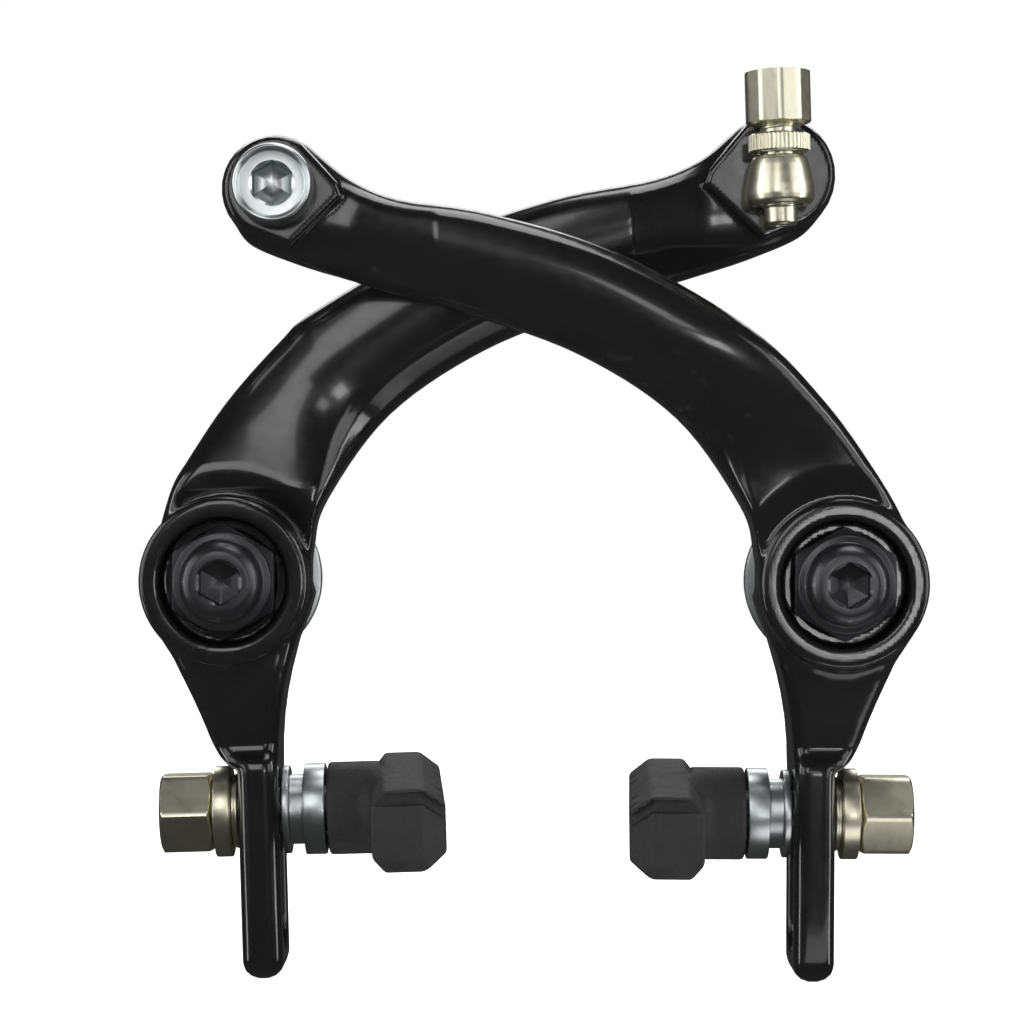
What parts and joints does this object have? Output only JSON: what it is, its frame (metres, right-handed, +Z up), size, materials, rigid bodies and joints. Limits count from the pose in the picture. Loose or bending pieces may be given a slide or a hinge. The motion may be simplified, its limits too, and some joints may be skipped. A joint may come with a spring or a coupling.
{
  "type": "rim brake caliper",
  "caption": "Bicycle rim brake with crossed arms on frame pivots, slotted legs with rubber pads, a cable pinch bolt and a swivelling cable adjuster.",
  "frame": {"origin": "midway between the two pivot axes, on the plane where the brake seats on the frame's bosses", "axes": "+X from the left pivot to the right one as seen from the front, +Y into the frame along the pivot bolts, +Z up, from the pads to the cable end"},
  "size_m": [0.1028, 0.0584, 0.1186],
  "materials": {
    "arm_coat": "gloss black coat over forged aluminium",
    "black_steel": "black oxide, satin",
    "bright_zinc": "bright zinc plate",
    "yellow_zinc": "pale yellow zinc plate",
    "spring_steel": "drawn spring wire",
    "bronze": "plain bearing bronze",
    "pad_rubber": "matt moulded rubber"
  },
  "bodies": {
    "frame_hardware": {"right_pivot_bolt": "black_steel", "left_pivot_bolt": "black_steel", "right_spring_plate": "bright_zinc", "left_spring_plate": "bright_zinc"},
    "right_tension_bushing": {"right_tension_bushing": "black_steel"},
    "right_arm": {"right_arm": "arm_coat", "right_pivot_liner": "bronze", "right_return_spring": "spring_steel"},
    "right_pad_carriage": {"right_inner_domed_washer": "bright_zinc", "right_outer_domed_washer": "yellow_zinc"},
    "right_pad_rocker": {"right_inner_cup_washer": "bright_zinc", "right_outer_cup_washer": "yellow_zinc"},
    "right_pad": {"right_brake_pad": "pad_rubber", "right_pad_stud": "bright_zinc", "right_pad_nut": "yellow_zinc"},
    "left_tension_bushing": {"left_tension_bushing": "black_steel"},
    "left_arm": {"left_arm": "arm_coat", "left_pivot_liner": "bronze", "left_return_spring": "spring_steel"},
    "left_pad_carriage": {"left_inner_domed_washer": "bright_zinc", "left_outer_domed_washer": "yellow_zinc"},
    "left_pad_rocker": {"left_inner_cup_washer": "bright_zinc", "left_outer_cup_washer": "yellow_zinc"},
    "left_pad": {"left_brake_pad": "pad_rubber", "left_pad_stud": "bright_zinc", "left_pad_nut": "yellow_zinc"},
    "pinch_bolt": {"pinch_bolt": "bright_zinc"},
    "cable_clamp": {"cable_clamp_washer": "bright_zinc", "pinch_nut": "bright_zinc"},
    "cable_swivel": {"swivel_stud": "yellow_zinc", "swivel_washer": "yellow_zinc", "swivel_nut": "yellow_zinc"},
    "adjuster_lock_ring": {"adjuster_lock_ring": "yellow_zinc"},
    "adjuster_barrel": {"adjuster_barrel": "yellow_zinc"}
  },
  "joints": [
    {"name": "right_tension_turn", "type": "hinge", "parent": "frame_hardware", "child": "right_tension_bushing", "pos_m": [0.04, 0, 0], "axis": [0, 1, 0], "range_deg": [-45, 45]},
    {"name": "right_arm_swing", "type": "hinge", "parent": "frame_hardware", "child": "right_arm", "pos_m": [0.04, 0, 0], "axis": [0, 1, 0], "range_deg": [-15, 14], "stiffness_Nm_per_rad": 0.7, "deforming": ["right_return_spring"]},
    {"name": "right_pad_height", "type": "slide", "parent": "right_arm", "child": "right_pad_carriage", "axis": [0, 0, 1], "range_m": [-0.014, 0]},
    {"name": "right_pad_toe", "type": "hinge", "parent": "right_pad_carriage", "child": "right_pad_rocker", "pos_m": [0.0365, -0.011, -0.0306], "axis": [0, 0, 1], "range_deg": [-5, 5]},
    {"name": "right_pad_turn", "type": "hinge", "parent": "right_pad_rocker", "child": "right_pad", "pos_m": [0.0365, -0.011, -0.0306], "axis": [1, 0, 0], "range_deg": [-30, 30]},
    {"name": "left_tension_turn", "type": "hinge", "parent": "frame_hardware", "child": "left_tension_bushing", "pos_m": [-0.04, 0, 0], "axis": [0, 1, 0], "range_deg": [-45, 45]},
    {"name": "left_arm_swing", "type": "hinge", "parent": "frame_hardware", "child": "left_arm", "pos_m": [-0.04, 0, 0], "axis": [0, -1, 0], "range_deg": [-15, 14], "stiffness_Nm_per_rad": 0.7, "deforming": ["left_return_spring"]},
    {"name": "left_pad_height", "type": "slide", "parent": "left_arm", "child": "left_pad_carriage", "axis": [-0.0332, 0, 0.9995], "range_m": [-0.014, 0]},
    {"name": "left_pad_toe", "type": "hinge", "parent": "left_pad_carriage", "child": "left_pad_rocker", "pos_m": [-0.03549, -0.011, -0.03047], "axis": [-0.0332, 0, 0.9995], "range_deg": [-5, 5]},
    {"name": "left_pad_turn", "type": "hinge", "parent": "left_pad_rocker", "child": "left_pad", "pos_m": [-0.03549, -0.011, -0.03047], "axis": [0.9995, 0, 0.0332], "range_deg": [-30, 30]},
    {"name": "pinch_bolt_turn", "type": "hinge", "parent": "right_arm", "child": "pinch_bolt", "pos_m": [-0.0333, -0.026, 0.0503], "axis": [0, -1, 0], "range_deg": [0, 720]},
    {"name": "cable_clamp_open", "type": "slide", "parent": "right_arm", "child": "cable_clamp", "axis": [0, 1, 0], "range_m": [0, 0.002]},
    {"name": "cable_swivel_turn", "type": "hinge", "parent": "left_arm", "child": "cable_swivel", "pos_m": [0.03159, -0.0193, 0.0527], "axis": [0, 1, 0], "range_deg": [-30, 100]},
    {"name": "adjuster_lift", "type": "slide", "parent": "cable_swivel", "child": "adjuster_lock_ring", "axis": [-0.0332, 0, 0.9995], "range_m": [0, 0.004]},
    {"name": "adjuster_turn", "type": "hinge", "parent": "adjuster_lock_ring", "child": "adjuster_barrel", "pos_m": [0.03159, -0.0193, 0.0527], "axis": [-0.0332, 0, 0.9995], "range_deg": [0, 1440]}
  ],
  "couplings": [
    {"joint": "pinch_bolt_turn", "follows": "cable_clamp_open", "rad_per_m": 6283.2},
    {"joint": "adjuster_turn", "follows": "adjuster_lift", "rad_per_m": 6283.2}
  ]
}
